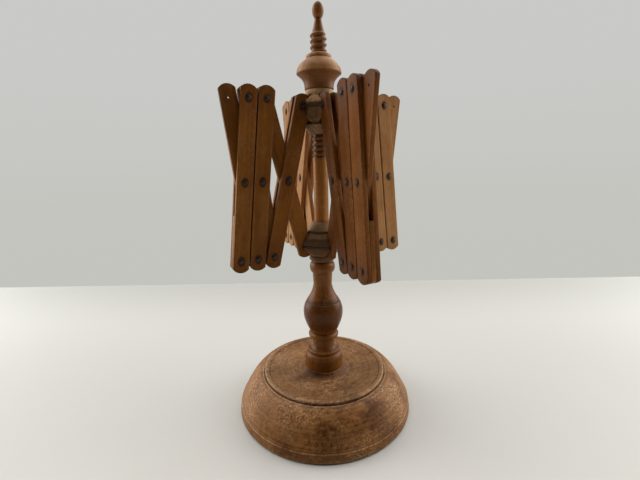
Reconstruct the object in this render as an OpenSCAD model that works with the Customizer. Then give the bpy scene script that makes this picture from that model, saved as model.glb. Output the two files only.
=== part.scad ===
// Table-top yarn swift: a turned stand carries two hubs on its post, and four lazy-tongs arms
// between the hubs open like an umbrella when the nut is screwed down the post.
// Z is up, the base rests on Z = 0, and the arms point along +X, +Y, -X and -Y.

/* [Base] */
// Radius of the base at its lower edge
base_r = 93; // [84:1:110]
// How far the rim leans in
rim_lean = 1.4; // [0.2:0.1:3]
// Height of the upright rim
rim_h = 10; // [6:0.5:14]
// Height of the base where the post stands
base_h = 38.5; // [36:0.5:50]
// Radius of the raised top disc
disc_r = 65; // [50:0.5:70]
// How far the top disc is dished
dish_d = 2.7; // [0.5:0.1:4]
// Width of the bead round the top disc
disc_bead_w = 4.6; // [1.5:0.1:6]
// Height of this bead above the disc
disc_bead_h = 1; // [0.4:0.1:2]
// Width and depth of the groove round the top disc
disc_groove = 1.6; // [0.8:0.1:3]
// Height of the edge of the top disc above the shoulder
disc_step = 1.8; // [0.8:0.1:3]
// Height of the socket mound round the foot of the post
mound_h = 5.5; // [1:0.1:7]
// Width of the socket mound
mound_w = 7.5; // [4:0.5:12]
// Width of the break along the lower edge
edge_break = 1.5; // [0.5:0.1:3]

/* [Post] */
// Radius of the tenon in the base
tenon_r = 12; // [8:0.5:16]
// Length of the tenon
tenon_l = 29; // [15:0.5:32]
// Radius of the foot of the post
foot_r = 20.4; // [18:0.1:26]
// Height of the upright part of the foot
foot_h = 15.5; // [6:0.5:18]
// Height of the rounded top of the foot
foot_round_h = 6.5; // [3:0.5:10]
// Radius of the collar above the foot
foot_ring_r = 17.6; // [15:0.1:20]
// Height of the collar above the foot
foot_ring_h = 4; // [2:0.1:7]
// Radius of the neck above the foot
foot_neck_r = 12; // [10:0.1:16]
// Height of the cove that leads to this neck
foot_cove_h = 6.5; // [5:0.5:14]
// Length of the neck
foot_neck_h = 5; // [2:0.5:10]
// Radius of the ring below the vase
ring_r = 16.1; // [14:0.1:19]
// Height of the ring below the vase
ring_h = 7.6; // [4:0.1:12]
// Radius of the foot of the vase
vase_foot_r = 14.2; // [11:0.1:16]
// Largest radius of the vase
vase_r = 20.9; // [17:0.1:26]
// Height from the foot of the vase to its largest radius
vase_low_h = 22; // [15:0.5:32]
// Height from the largest radius to the score line round the vase
vase_high_h = 12.4; // [8:0.1:20]
// Radius of the vase at this score line
vase_score_r = 17.6; // [14:0.1:20]
// Height from the score line to the waist
vase_neck_h = 19.6; // [12:0.1:30]
// Radius of the waist above the vase
waist_r = 9.7; // [8.5:0.1:12]
// Length of the waist
waist_h = 12; // [3:0.5:12]
// Radius of the bead that the lower hub turns on
bead_r = 13.1; // [11.5:0.1:16]
// Height of this bead
bead_h = 13.5; // [9:0.5:20]
// Height of the seat on top of this bead
seat_h = 2.2; // [0.8:0.1:4]
// Depth of the turned score lines
score_d = 0.6; // [0.3:0.1:1]
// Radius of the plain rod
rod_r = 7.3; // [6:0.1:9]
// Length of the plain rod above the bead
rod_l = 102; // [80:1:110]
// Radius at the root of the wooden screw
screw_root_r = 6.4; // [5:0.1:7]
// Height of the wooden thread
thread_h = 1.3; // [0.8:0.1:2]
// Length of the wooden screw
screw_l = 109; // [100:1:120]
// Radius of the neck below the ball tip
tip_neck_r = 3.1; // [2.2:0.1:4.5]
// Length of the taper from the screw to this neck
tip_taper_h = 12; // [6:0.5:18]
// Radius of the ball tip
tip_r = 5.2; // [4:0.1:8]
// Height of the ball tip
tip_h = 14; // [9:0.5:20]

/* [Hubs] */
// Half the width across the flats of a hub
hub_half = 17; // [16:0.25:20]
// Radius of the turned corners of a hub
hub_corner_r = 23; // [22:0.25:26]
// Height of the hub block
hub_block_h = 25; // [20:0.5:32]
// Height of the block's cone towards the collar
collar_cone_h = 9.5; // [5:0.5:12]
// Height of the block's cone towards the thrust disc
disc_cone_h = 9; // [5:0.5:9.5]
// Radius of the thrust disc on the outer end
hub_disc_r = 13.2; // [10:0.1:14]
// Height of the thrust disc
hub_disc_h = 5; // [3:0.5:8]
// Radius of the collar at the block
collar_wide_r = 14.6; // [13:0.1:15.5]
// Radius of the collar at its free end
collar_narrow_r = 10; // [9.5:0.1:12.5]
// Height of the collar
collar_h = 9.3; // [5:0.1:14]
// Distance of the slat pivots from the axis
pivot_r = 20.4; // [20:0.1:21]
// Height of the slat pivots above the outer end of the block
pivot_h = 10.7; // [9:0.1:12]
// Radius of the hub wire
wire_r = 0.9; // [0.6:0.05:1.2]
// How far the wire stands proud of the flats
wire_proud = 0.2; // [0.1:0.05:0.4]
// Wood of a hub outside its slat pivots
pin_wall = 2.6; // [2:0.1:4]
// Length of a lower pin past each face of its slat
pin_past = 0.3; // [0.2:0.05:1]
// Wall between the bore of a hub and its slots
slot_wall = 1.7; // [1.4:0.1:1.8]
// How much thinner the wire is past each bend
wire_draw = 0.08; // [0.05:0.01:0.12]
// Length of the wire's bent end
wire_tail_l = 8.5; // [4:0.5:12]

/* [Slats] */
// Width of the slats
slat_w = 14.5; // [12:0.1:16]
// Thickness of the slats
slat_t = 4.4; // [3:0.1:5]
// Length from the middle rivet to either end rivet
slat_half = 71; // [64:0.5:80]
// Length from the hub pivot to the middle rivet of an inner slat
hub_slat_in = 67.7; // [62:0.1:74]
// Length of the slat past its end rivet
slat_end = 11; // [9:0.1:12]
// How far the ends of the slats bow out
slat_bow = 3.6; // [3.2:0.1:6]
// Lean of the inner slats when the arms are closed
hub_lean = 13.6; // [13:0.1:18]
// Gap between neighbouring slats when the arms are closed
edge_gap = 1.3; // [0.9:0.05:1.5]
// Gap between the layers of slats
layer_gap = 0.15; // [0.1:0.05:0.4]
// Length of the wedge spacers
spacer_l = 52; // [35:0.5:58]
// Radius of the empty hole at the tip of an arm
tip_hole_r = 1; // [0.6:0.1:2.5]

/* [Rivets] */
// Radius of the rivet shanks
rivet_r = 1.25; // [0.8:0.05:1.8]
// Radius of the rivet heads
rivet_head_r = 2.4; // [2:0.05:4]
// Height of the rivet heads
rivet_head_h = 1.3; // [0.6:0.1:2]

/* [Nut] */
// Largest radius of the nut
nut_r = 20.8; // [16:0.1:26]
// Radius of the nut at its lower end
nut_foot_r = 13.6; // [11:0.1:15]
// Height of the straight lower end of the nut
nut_foot_h = 1.2; // [0.5:0.1:3]
// Height of the hollow lower part of the nut
nut_cove_h = 13.6; // [8:0.1:18]
// Height of the round upper part of the nut
nut_dome_h = 12.6; // [8:0.1:18]
// Radius of the ledge on top of the nut
nut_ledge_r = 11.6; // [10:0.1:14]
// Height of the upright side of the ledge
nut_ledge_h = 3.2; // [2:0.1:6]
// Height of the slope from the ledge to the bore
nut_top_h = 1.8; // [0.5:0.1:3]

/* [Fits] */
// Radial clearance where a hub or the nut slides over the wooden screw
slide_gap = 0.2; // [0.1:0.05:0.4]
// Radial clearance of a moving hole round a rivet or wire
run_gap = 0.06; // [0.02:0.01:0.1]
// Radial clearance of a fixed piece in its hole
fixed_gap = 0.02; // [0.01:0.01:0.05]
// Radial clearance of the post in its socket
socket_gap = 0.06; // [0.03:0.01:0.2]
// Clearance where two flat faces turn on each other
face_gap = 0.1; // [0.05:0.05:0.3]
// Slack round the rivet that joins the inner pair to the second middle slat
loop_slack = 2.1; // [2:0.1:2.5]

/* [Hidden] */
$fn = 64;
arms = 4;
arm_step = 360 / arms;
curve_steps = 10;
overcut = 1;
chamfer = 0.7;
shoulder_round = 0.55;
dish_round = 0.5;
vase_fall = 2;
vase_settle = 1.8;
nut_cove_flare = 2.6;
nut_dome_flare = 2.1;
tip_settle = 1.4;

// Heights up the post
foot_z = base_h;
foot_ring_z = foot_z + foot_h + foot_round_h;
foot_cove_z = foot_ring_z + foot_ring_h;
foot_neck_z = foot_cove_z + foot_cove_h;
ring_z = foot_neck_z + foot_neck_h;
vase_z = ring_z + ring_h;
vase_wide_z = vase_z + vase_low_h;
vase_score_z = vase_wide_z + vase_high_h;
waist_z = vase_score_z + vase_neck_h;
bead_z = waist_z + waist_h;
rod_z = bead_z + bead_h;
screw_z = rod_z + rod_l;
tip_z = screw_z + screw_l;
tip_neck_z = tip_z + tip_taper_h;
foot_ring_top_r = foot_ring_r - 2 * score_d;
seat_r = waist_r + score_d;
tip_a = asin(tip_neck_r / tip_r);

// Shape of the base
socket_r = foot_r + socket_gap;
rim_r = base_r - rim_lean;
disc_z = base_h + dish_d;
shoulder_z = disc_z - disc_step;
mound_r = socket_r + mound_w;

// Hubs: the bore passes over the thread, the slots keep a wall round it, and the corners hold the pivots
mid_y = slat_t / 2;
pair_in_y = mid_y + layer_gap;
pair_out_y = pair_in_y + slat_t;
pin_half = (pivot_r + pair_in_y + pin_past) / sqrt(2);
flat_half = max(hub_half, pin_half - wire_proud + wire_r);
corner_r = max(hub_corner_r, pivot_r + pin_wall);
hub_bore_r = max(rod_r, screw_root_r + thread_h) + slide_gap;
slot_in_r = hub_bore_r + slot_wall;
hub_h = hub_disc_h + hub_block_h + collar_h;
low_hub_z = rod_z + face_gap;
low_pivot_z = low_hub_z + hub_disc_h + pivot_h;

// Arms: the outer slats close edge to edge, and the inner slats meet them at the same height
bow_r = (slat_w * slat_w / 4 + slat_bow * slat_bow) / (2 * slat_bow);
lean = asin((slat_w + edge_gap) / slat_half) / 2;
hub_slat_out = slat_half * cos(lean) / cos(hub_lean);
half_gap = hub_slat_in * cos(hub_lean);
mid_z = low_pivot_z + half_gap;
high_pivot_z = mid_z + half_gap;
high_hub_z = high_pivot_z + pivot_h + hub_disc_h - hub_h;
nut_z = high_hub_z + hub_h + face_gap;
nut_h = nut_cove_h + nut_dome_h + nut_ledge_h + nut_top_h;
cross_r = [for (i = [0, 1, 2]) i == 0
    ? pivot_r + hub_slat_in * sin(hub_lean)
    : pivot_r + (hub_slat_in + hub_slat_out) * sin(hub_lean) + (2 * i - 1) * slat_half * sin(lean)];

// Wire: distance of its run from the axis, and of its return over the outside of a pair
wire_run = flat_half + wire_proud - wire_r;
wire_kerf = wire_r + run_gap;
wire_return_y = pair_out_y + run_gap + wire_r;

// Length of each slat above and below its middle rivet
function slat_up(i) = i == 0 ? hub_slat_in : slat_half;
function slat_down(i) = i == 0 ? hub_slat_out : slat_half;
function slat_lean(i) = i == 0 ? hub_lean : lean;

function arm_node(k, piece) = str("arm", k, "_", piece);
function slat_node(k, piece, i) = str("arm", k, "_", piece, "_", i + 1);

// Turned curves, as lists of [radius, height] points from the lower end to the upper end
function half_round(r, z0, z1, r_max) = [for (i = [0:curve_steps]) let (a = 180 * i / curve_steps)
    [r + (r_max - r) * sin(a), (z0 + z1) / 2 - (z1 - z0) / 2 * cos(a)]];
function round_in(r0, z0, r1, z1) = [for (i = [0:curve_steps]) let (a = 90 * i / curve_steps)
    [r1 + (r0 - r1) * cos(a), z0 + (z1 - z0) * sin(a)]];
function hollow_in(r0, z0, r1, z1) = [for (i = [0:curve_steps]) let (a = 90 * i / curve_steps)
    [r0 + (r1 - r0) * sin(a), z1 - (z1 - z0) * cos(a)]];

function belly(r0, z0, r1, z1) = [for (i = [0:curve_steps]) let (t = i / curve_steps)
    [r0 + (r1 - r0) * sin(90 * t), z0 + (z1 - z0) * t]];
function flare(r0, z0, r1, z1, power) = [for (i = [0:curve_steps]) let (t = i / curve_steps)
    [r0 + (r1 - r0) * pow(t, power), z0 + (z1 - z0) * t]];
function settle(r0, z0, r1, z1, power) = [for (i = [0:curve_steps]) let (t = i / curve_steps)
    [r1 + (r0 - r1) * pow(1 - t, power), z0 + (z1 - z0) * t]];
function bead_over(r0, r1, z, h) = [for (i = [0:curve_steps]) let (a = 180 * i / curve_steps)
    [(r0 + r1) / 2 + (r0 - r1) / 2 * cos(a), z + h * sin(a)]];

// Copies what follows to the four arms
module on_arm(k) {
    rotate([0, 0, (k - 1) * arm_step]) children();
}

// A rod along Y through the point (x, z) of an arm's plane, from y0 to y1
module cross_rod(x, z, r, y0, y1) {
    translate([x, y0, z]) rotate([-90, 0, 0]) cylinder(r = r, h = y1 - y0);
}

module base() {
    outline = concat(
        [[tenon_r + socket_gap, foot_z - tenon_l - face_gap], [0, foot_z - tenon_l - face_gap], [0, 0],
            [base_r - edge_break, 0], [base_r, edge_break], [rim_r, rim_h]],
        settle(rim_r - score_d, rim_h, disc_r + disc_groove, shoulder_z, shoulder_round),
        [[disc_r, shoulder_z - disc_groove]],
        bead_over(disc_r, disc_r - disc_bead_w, disc_z, disc_bead_h),
        settle(disc_r - disc_bead_w - score_d, disc_z, mound_r + score_d, base_h, dish_round),
        hollow_in(mound_r, base_h, socket_r + chamfer, base_h + mound_h),
        [[socket_r, base_h + mound_h], [socket_r, foot_z], [tenon_r + socket_gap, foot_z]]);
    color("sienna") rotate_extrude($fn = 128) polygon(outline);
}

module post() {
    outline = concat(
        [[0, foot_z - tenon_l], [tenon_r - chamfer, foot_z - tenon_l], [tenon_r, foot_z - tenon_l + chamfer],
            [tenon_r, foot_z], [foot_r, foot_z]],
        round_in(foot_r, foot_z + foot_h, foot_ring_r - score_d, foot_ring_z),
        [[foot_ring_r, foot_ring_z + score_d]],
        [[foot_ring_r, foot_cove_z - score_d]],
        hollow_in(foot_ring_top_r, foot_cove_z, foot_neck_r, foot_neck_z),
        half_round(foot_neck_r, ring_z, vase_z, ring_r),
        belly(vase_foot_r, vase_z + score_d, vase_r, vase_wide_z),
        flare(vase_r, vase_wide_z + score_d, vase_score_r, vase_score_z, vase_fall),
        settle(vase_score_r - score_d, vase_score_z + score_d, waist_r, waist_z, vase_settle),
        half_round(seat_r, bead_z, rod_z - seat_h, bead_r),
        [[seat_r, rod_z], [rod_r, rod_z], [rod_r, screw_z], [screw_root_r, screw_z + score_d],
            [screw_root_r, tip_z]],
        settle(screw_root_r - score_d, tip_z + score_d, tip_neck_r, tip_neck_z, tip_settle),
        [for (i = [1:curve_steps]) let (a = tip_a + (180 - tip_a) * i / curve_steps)
            [tip_r * sin(a), tip_neck_z + tip_h * (cos(tip_a) - cos(a)) / (1 + cos(tip_a))]]);
    color("peru") rotate_extrude() polygon(outline);
}

// Turned shape of a hub: the thrust disc, the block between two cones and the collar, from below
module hub_turning() {
    block_top = hub_disc_h + hub_block_h;
    rotate_extrude() polygon([[hub_bore_r, 0], [hub_disc_r - chamfer, 0], [hub_disc_r, chamfer],
        [hub_disc_r, hub_disc_h - chamfer], [hub_disc_r - chamfer, hub_disc_h],
        [corner_r, hub_disc_h + disc_cone_h], [corner_r, block_top - collar_cone_h],
        [collar_wide_r - chamfer, block_top], [collar_wide_r, block_top + chamfer],
        [collar_wide_r, block_top + 2 * chamfer], [collar_narrow_r, hub_h], [hub_bore_r, hub_h]]);
}

// A hub with its four flats, the kerf for the wire and the slots for the slats
module hub(kerf_half, slots) {
    pivot_z = hub_disc_h + pivot_h;
    kerf_in = wire_run - wire_kerf;
    difference() {
        intersection() {
            hub_turning();
            rotate([0, 0, 45]) translate([-flat_half, -flat_half, 0])
                cube([2 * flat_half, 2 * flat_half, hub_h]);
        }
        for (k = [1:arms]) on_arm(k) {
            rotate([0, 0, 45]) translate([kerf_in, -kerf_half, pivot_z - wire_kerf])
                cube([corner_r, 2 * kerf_half, 2 * wire_kerf]);
            for (slot = slots) translate([slot_in_r, slot[0], hub_disc_h])
                cube([corner_r, slot[1] - slot[0], hub_block_h]);
            cross_rod(pivot_r, pivot_z, wire_r + fixed_gap, -flat_half, flat_half);
        }
    }
}

module lower_hub() {
    color("saddlebrown") translate([0, 0, low_hub_z])
        hub(flat_half, [[-pair_in_y, pair_in_y]]);
}

// The upper hub stands the other way up
module upper_hub() {
    kerf_half = (pivot_r - wire_return_y) / sqrt(2);
    color("saddlebrown") translate([0, 0, high_hub_z + hub_h]) mirror([0, 0, 1])
        hub(kerf_half, [[mid_y, pair_out_y + layer_gap], [-pair_out_y - layer_gap, -mid_y]]);
}

// Straight length of wire between two points of the hub's plane, drawn thinner past each bend
module wire_length(from, to, bends) {
    step = to - from;
    translate([from[0], from[1], 0]) rotate([0, 90, atan2(step[1], step[0])])
        cylinder(r = wire_r - bends * wire_draw, h = norm(step));
}

// Lower wire: a pin across each slot and a straight run along each flat
module lower_hub_wire() {
    bend_y = wire_run * sqrt(2) - pivot_r;
    pin_y = bend_y + wire_r;
    color("dimgray") translate([0, 0, low_pivot_z]) for (k = [1:arms]) on_arm(k) {
        wire_length([pivot_r, -pin_y], [pivot_r, pin_y], 0);
        wire_length([pivot_r, bend_y], [bend_y, pivot_r], 1);
    }
}

// Upper wire: pins through the pairs, returns over their outer faces and runs along the flats
module upper_hub_wire() {
    run_x = wire_run * sqrt(2) - wire_return_y;
    pin_y = wire_return_y + wire_r;
    color("dimgray") translate([0, 0, high_pivot_z]) {
        for (k = [1:arms]) on_arm(k) {
            wire_length([pivot_r, -pin_y], [pivot_r, pin_y], 0);
            for (side = [-1, 1])
                wire_length([pivot_r, side * wire_return_y], [run_x, side * wire_return_y], 1);
            wire_length([run_x, wire_return_y], [wire_return_y, run_x], 2);
        }
        on_arm(3) translate([(pivot_r + run_x) / 2, wire_return_y, -wire_tail_l])
            cylinder(r = wire_r - 2 * wire_draw, h = wire_tail_l);
    }
}

module nut() {
    dome_z = nut_cove_h + score_d;
    ledge_z = nut_cove_h + nut_dome_h;
    outline = concat(
        [[hub_bore_r, 0], [nut_foot_r, 0]],
        flare(nut_foot_r, nut_foot_h, nut_r, nut_cove_h, nut_cove_flare),
        flare(nut_r, dome_z, nut_ledge_r + chamfer, ledge_z, nut_dome_flare),
        [[nut_ledge_r, ledge_z + score_d], [nut_ledge_r, nut_h - nut_top_h], [hub_bore_r + chamfer, nut_h],
            [hub_bore_r, nut_h]]);
    color("peru") translate([0, 0, nut_z]) rotate_extrude() polygon(outline);
}

// Flat slat with bowed ends, standing on its middle rivet: lengths are to the end rivets
module slat(up, down, y0) {
    top = up + slat_end;
    bottom = down + slat_end;
    translate([0, y0 + slat_t, 0]) rotate([90, 0, 0]) linear_extrude(slat_t) {
        translate([-slat_w / 2, slat_bow - bottom]) square([slat_w, top + bottom - 2 * slat_bow]);
        intersection() {
            translate([0, top - bow_r]) circle(bow_r);
            translate([-slat_w / 2, 0]) square([slat_w, top]);
        }
        intersection() {
            translate([0, bow_r - bottom]) circle(bow_r);
            translate([-slat_w / 2, -bottom]) square([slat_w, bottom]);
        }
    }
}

module rivet_hole(z, gap, shank = rivet_r) {
    cross_rod(0, z, shank + gap, -pair_out_y - overcut, pair_out_y + overcut);
}

// Places a slat of crossing i: side 1 leans outwards at its top, side -1 inwards
module at_crossing(k, i, side) {
    on_arm(k) translate([cross_r[i], 0, mid_z]) rotate([0, side * slat_lean(i), 0]) children();
}

module middle_slat(k, i) {
    color("chocolate") at_crossing(k, i, 1) difference() {
        slat(slat_down(i), slat_up(i), -mid_y);
        rivet_hole(0, run_gap);
        rivet_hole(slat_down(i), i == 2 ? 0 : run_gap, i == 2 ? tip_hole_r : rivet_r);
        rivet_hole(-slat_up(i), i == 1 ? loop_slack : run_gap, i == 0 ? wire_r : rivet_r);
    }
}

module pair_slat(k, i, y0) {
    color("chocolate") at_crossing(k, i, -1) difference() {
        slat(slat_up(i), slat_down(i), y0);
        rivet_hole(0, fixed_gap);
        rivet_hole(slat_up(i), i == 0 ? run_gap : fixed_gap, i == 0 ? wire_r : rivet_r);
        rivet_hole(-slat_down(i), fixed_gap);
    }
}

// Rivet through an arm with a domed head on both faces
module rivet(z) {
    dome = [for (i = [0:curve_steps / 2]) let (a = 180 * i / curve_steps)
        [rivet_head_r * sin(a), pair_out_y + rivet_head_h * cos(a)]];
    back = [for (i = [len(dome) - 1:-1:0]) [dome[i][0], -dome[i][1]]];
    translate([0, 0, z]) rotate([-90, 0, 0]) rotate_extrude($fn = 24)
        polygon(concat(dome, [[rivet_r, pair_out_y], [rivet_r, -pair_out_y]], back));
}

module rivets(k, i) {
    color("dimgray") at_crossing(k, i, -1) {
        rivet(0);
        rivet(-slat_down(i));
        if (i > 0) rivet(slat_up(i));
    }
}

// Wedge between the outermost pair, cut along the edge of the closed middle slat
module spacer(k) {
    bottom = slat_half + slat_end;
    color("chocolate") at_crossing(k, 2, -1) difference() {
        intersection() {
            slat(slat_half, slat_half, -mid_y);
            translate([-slat_w, -slat_w, -bottom]) cube([2 * slat_w, 2 * slat_w, spacer_l]);
        }
        rotate([0, 2 * lean, 0]) translate([-slat_half, -slat_t, -bottom - slat_w])
            cube([slat_half + slat_w / 2 + edge_gap / 2, 2 * slat_t, 2 * bottom]);
        rivet_hole(-slat_half, fixed_gap);
    }
}

base();
post();
lower_hub();
lower_hub_wire();
upper_hub();
upper_hub_wire();
nut();
for (k = [1:arms], i = [0:2]) {
    middle_slat(k, i);
    pair_slat(k, i, pair_in_y);
    pair_slat(k, i, -pair_out_y);
    rivets(k, i);
}
for (k = [1:arms]) spacer(k);
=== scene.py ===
import bpy
import bmesh
import math
import numpy as np
from mathutils import Matrix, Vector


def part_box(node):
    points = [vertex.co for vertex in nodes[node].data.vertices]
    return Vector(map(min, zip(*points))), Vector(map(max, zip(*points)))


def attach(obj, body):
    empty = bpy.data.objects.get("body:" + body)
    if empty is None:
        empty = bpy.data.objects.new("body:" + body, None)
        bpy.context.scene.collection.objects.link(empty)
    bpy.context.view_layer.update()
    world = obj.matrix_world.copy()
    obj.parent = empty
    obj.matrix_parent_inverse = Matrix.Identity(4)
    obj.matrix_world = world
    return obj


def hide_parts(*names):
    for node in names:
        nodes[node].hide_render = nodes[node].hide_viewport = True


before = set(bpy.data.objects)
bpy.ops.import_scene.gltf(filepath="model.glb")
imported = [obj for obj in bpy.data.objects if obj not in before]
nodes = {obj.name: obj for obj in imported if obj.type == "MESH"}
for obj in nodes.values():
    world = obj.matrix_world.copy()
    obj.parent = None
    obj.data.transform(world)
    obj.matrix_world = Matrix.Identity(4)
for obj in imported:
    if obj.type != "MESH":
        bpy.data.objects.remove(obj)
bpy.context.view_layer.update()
mm = 0.001
rng = np.random.default_rng(7)
mergeGap, flatGap = 2e-6, 1e-6
print("frame loaded,", len(nodes), "nodes")

# where the photograph was taken from, measured in a frame turned by armTurn from the arms
shot = {"focalPx": 352.11, "widthPx": 640, "pitch": 12.91, "roll": -1.10, "yaw": 0.32,
        "height": 0.26355, "distance": 0.35115, "armTurn": -26.5, "sensor": 36, "clip": 0.01}


def turnZ(degrees):
    c, s = math.cos(math.radians(degrees)), math.sin(math.radians(degrees))
    return np.array([[c, -s, 0], [s, c, 0], [0, 0, 1.0]])


def placeCamera(look):
    # pitch down, turn by the yaw, roll about the line of sight, then turn into the part's frame
    p, r = math.radians(look["pitch"]), math.radians(look["roll"])
    toPart = turnZ(look["armTurn"])
    pitched = np.array([[1, 0, 0], [0, math.sin(p), math.cos(p)], [0, -math.cos(p), math.sin(p)]]).T
    axes = turnZ(look["yaw"]) @ pitched
    right = math.cos(r) * axes[:, 0] + math.sin(r) * axes[:, 1]
    up = -math.sin(r) * axes[:, 0] + math.cos(r) * axes[:, 1]
    m = np.eye(4)
    m[:3, :3] = toPart @ np.stack([right, up, axes[:, 2]], 1)
    m[:3, 3] = toPart @ np.array([0, -look["distance"], look["height"]])
    data = bpy.data.cameras.new("camera")
    data.sensor_width = look["sensor"]
    data.lens = look["focalPx"] * look["sensor"] / look["widthPx"]
    data.clip_start = look["clip"]
    camera = bpy.data.objects.new("camera", data)
    bpy.context.scene.collection.objects.link(camera)
    camera.matrix_world = Matrix(m.tolist())
    bpy.context.scene.camera = camera


placeCamera(shot)
print("camera placed")


# a number on a node's socket; sums and products add Math nodes
class Num:
    def __init__(self, look, socket):
        self.look, self.socket = look, socket

    def math(self, operation, a, b=None, clamp=False):
        return self.look.node("ShaderNodeMath", {"operation": operation, "use_clamp": clamp}, {0: a, 1: b})

    def __add__(self, b): return self.math("ADD", self, b)
    def __radd__(self, b): return self.math("ADD", b, self)
    def __sub__(self, b): return self.math("SUBTRACT", self, b)
    def __rsub__(self, b): return self.math("SUBTRACT", b, self)
    def __mul__(self, b): return self.math("MULTIPLY", self, b)
    def __rmul__(self, b): return self.math("MULTIPLY", b, self)
    def top(self): return self.math("ADD", self, 0.0, True)

    # 0 below low and 1 above high, eased between
    def step(self, low, high):
        return self.look.node("ShaderNodeMapRange", {"interpolation_type": "SMOOTHSTEP"},
                              {"Value": self, "From Min": low, "From Max": high})


# one material and the nodes in it
class Look:
    coatRough = 0.2

    def __init__(self, name, tree=None):
        if tree is None:
            self.mat = bpy.data.materials.new(name)
            self.mat.use_nodes = True
            tree = self.mat.node_tree
        self.tree = tree
        self.tree.nodes.clear()

    def node(self, kind, settings=None, values=None, out=0):
        n = self.tree.nodes.new(kind)
        for key, value in (settings or {}).items():
            if key == "stops":
                ramp = n.color_ramp
                while len(ramp.elements) < len(value):
                    ramp.elements.new(0.5)
                for element, (at, colour) in zip(ramp.elements, value):
                    element.position, element.color = at, (*colour, 1)
            else:
                setattr(n, key, value)
        for key, value in (values or {}).items():
            if isinstance(value, Num):
                self.tree.links.new(value.socket, n.inputs[key])
            elif value is not None:
                n.inputs[key].default_value = value
        return Num(self, n.outputs[out]) if n.outputs else n

    def note(self, name, out):
        return self.node("ShaderNodeAttribute", {"attribute_name": name}, out=out)

    def vector(self, operation, a, b=None):
        return self.node("ShaderNodeVectorMath", {"operation": operation}, {0: a, 1: b}, 1)

    def stretch(self, where, scale, turn=(0, 0, 0), shift=(0, 0, 0)):
        return self.node("ShaderNodeMapping", {},
                         {"Vector": where, "Scale": scale, "Rotation": turn, "Location": shift})

    def noise(self, where, scale=1.0, detail=3.0, rough=0.55):
        return self.node("ShaderNodeTexNoise", {},
                         {"Vector": where, "Scale": scale, "Detail": detail, "Roughness": rough})

    def blend(self, a, b, factor, kind="MIX"):
        return self.node("ShaderNodeMix", {"data_type": "RGBA", "blend_type": kind},
                         {0: factor, 6: a, 7: b}, 2)

    def tint(self, colour):
        return (*colour, 1.0)

    def bump(self, height, strength, distance):
        return self.node("ShaderNodeBump", {}, {"Strength": strength, "Distance": distance, "Height": height})

    def surface(self, colour, roughness, normal, metallic=0.0, specular=0.4, coat=0.0):
        shader = self.node("ShaderNodeBsdfPrincipled", {},
                           {"Base Color": colour, "Roughness": roughness, "Metallic": metallic,
                            "Normal": normal, "Specular IOR Level": specular, "Coat Weight": coat,
                            "Coat Roughness": self.coatRough})
        self.node("ShaderNodeOutputMaterial", {}, {"Surface": shader})
        return self.mat


# patterns of wood: repeats in a metre across, across and along the fibres, then detail and roughness
figure = {"cloud": ((45, 45, 12), 3.0, 0.55), "streak": ((520, 520, 9), 4.0, 0.6),
          "band": ((150, 150, 4), 2.0, 0.55), "mottle": ((260, 260, 170), 4.0, 0.65),
          "pores": ((1900, 1900, 120), 1.0, 0.55), "patch": ((30, 30, 24), 5.0, 0.6),
          "grit": ((620, 620, 430), 3.0, 0.7), "blot": ((36, 36, 20), 4.0, 0.6),
          "runs": ((420, 420, 60), 4.0, 0.65), "rings": 420, "blotShift": (0.7, 0.2, 0.4)}
# the two levels between which each kind of wear or dirt sets in
sets = {"pores": (0.60, 0.72), "rub": (0.48, 0.64), "rubGrit": (0.42, 0.64), "fleck": (0.60, 0.70),
        "edge": (0.10, 0.7), "edgeGrit": (0.30, 0.62), "blot": (0.54, 0.70), "groove": (0.08, 0.6),
        "handled": (0.55, 1.0), "endEdge": (0.05, 0.5), "end": (0.90, 0.96), "runs": (0.38, 0.62),
        "iron": (0.0024, 0.0040)}
# shades that darken by multiplying, how soft and ragged the limits of bands and spots are in millimetres, and
# how much each thing adds to roughness and relief
aged = {"handled": (0.50, 0.42, 0.36), "mark": (0.46, 0.38, 0.32), "core": 0.2, "ragged": 1.2,
        "bandSoft": 1.0, "bandSoftR": 2.0, "bandRagged": 4.0, "ironDrawn": (1, 1, 0.72), "ironRagged": 3.0,
        "runLeast": 0.35, "roughMottle": 0.20, "roughRub": 0.25, "roughWorn": 0.15, "roughBlot": 0.10,
        "highStreak": 0.6, "highPores": 0.6, "highRub": 0.5, "highMottle": 0.4, "depth": 0.0004}


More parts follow.
